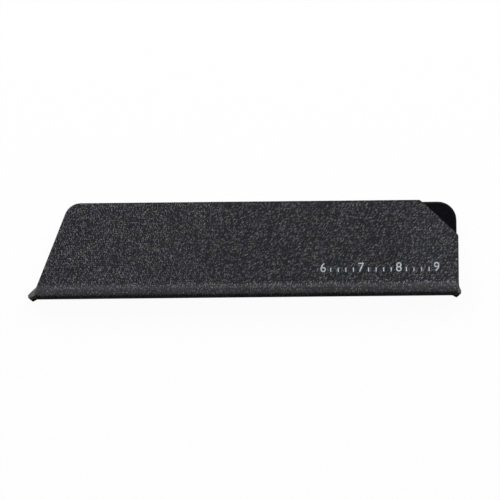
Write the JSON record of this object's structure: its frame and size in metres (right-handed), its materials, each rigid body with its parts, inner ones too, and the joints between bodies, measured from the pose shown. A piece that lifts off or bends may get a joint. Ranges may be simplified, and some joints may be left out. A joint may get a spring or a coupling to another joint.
{
  "type": "knife blade guard",
  "caption": "Folding guard for a small kitchen knife's blade: grained plastic covers on a living hinge, with a slanted end, a notched corner, soft linings and magnet strips.",
  "frame": {"origin": "centre of the closed guard's outline seen from the front, on the surface that its back lies on", "axes": "+X along the fold towards the knife's handle, +Y from the fold to the free edges, +Z out of the front cover"},
  "size_m": [0.1146, 0.026, 0.006],
  "materials": {
    "cover": "leather-grained, satin",
    "fold_web": "smooth, satin",
    "lining": "fine nap, dead matt",
    "adhesive_film": "translucent",
    "magnet": "dull"
  },
  "bodies": {
    "back_half": {"back_cover": "cover", "fold_web": "fold_web", "back_lining": "lining", "back_adhesive_film": "adhesive_film", "back_closing_magnet": "magnet", "back_blade_magnet": "magnet"},
    "front_half": {"front_cover": "cover", "front_lining": "lining", "front_adhesive_film": "adhesive_film", "front_closing_magnet": "magnet", "front_blade_magnet": "magnet"}
  },
  "joints": [
    {"name": "fold_hinge", "type": "hinge", "parent": "back_half", "child": "front_half", "pos_m": [0, -0.0123, 0.003], "axis": [1, 0, 0], "range_deg": [0, 180]}
  ]
}
